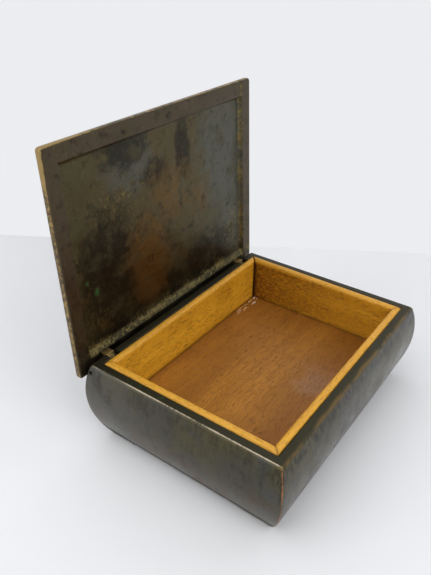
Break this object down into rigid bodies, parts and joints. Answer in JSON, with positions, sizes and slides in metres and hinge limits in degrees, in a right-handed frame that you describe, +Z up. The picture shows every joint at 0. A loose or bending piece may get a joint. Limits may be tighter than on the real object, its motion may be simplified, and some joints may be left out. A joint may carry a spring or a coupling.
{
  "type": "hinged table box",
  "caption": "Bombe metal table box on bracket feet, with a flat overhanging hinged lid and a mitred wooden lining.",
  "frame": {"origin": "centre of the case seen from above, at the level of the table under the four feet", "axes": "+X along the hinge, +Y from the front wall to the hinge side, +Z up; the lid is drawn standing open"},
  "size_m": [0.1696, 0.1378, 0.1726],
  "materials": {
    "case_bronze": "dark olive brown patina, semi-gloss, worn bright at the rim",
    "lid_bronze": "mottled dark brown and olive patina, worn gold at the edges",
    "lug_bronze": "rough yellow grey bronze",
    "base_brass": "dull tarnished sheet",
    "screw_brass": "tarnished",
    "pin_steel": "dark",
    "floor_wood": "satin reddish brown",
    "slat_wood": "satin honey",
    "slat_wood_red": "satin reddish honey"
  },
  "bodies": {
    "case": {"case_body": "case_bronze", "base_plate": "base_brass", "base_screws": "screw_brass", "floor_board": "floor_wood", "slat_left": "slat_wood", "slat_right": "slat_wood_red", "slat_front": "slat_wood", "slat_back": "slat_wood", "pin_left": "pin_steel", "pin_right": "pin_steel"},
    "lid": {"lid_plate": "lid_bronze", "lug_left": "lug_bronze", "lug_right": "lug_bronze"}
  },
  "joints": [
    {"name": "lid_hinge", "type": "hinge", "parent": "case", "child": "lid", "pos_m": [0, 0.0596, 0.0476], "axis": [1, 0, 0], "range_deg": [0, 92.5]}
  ]
}
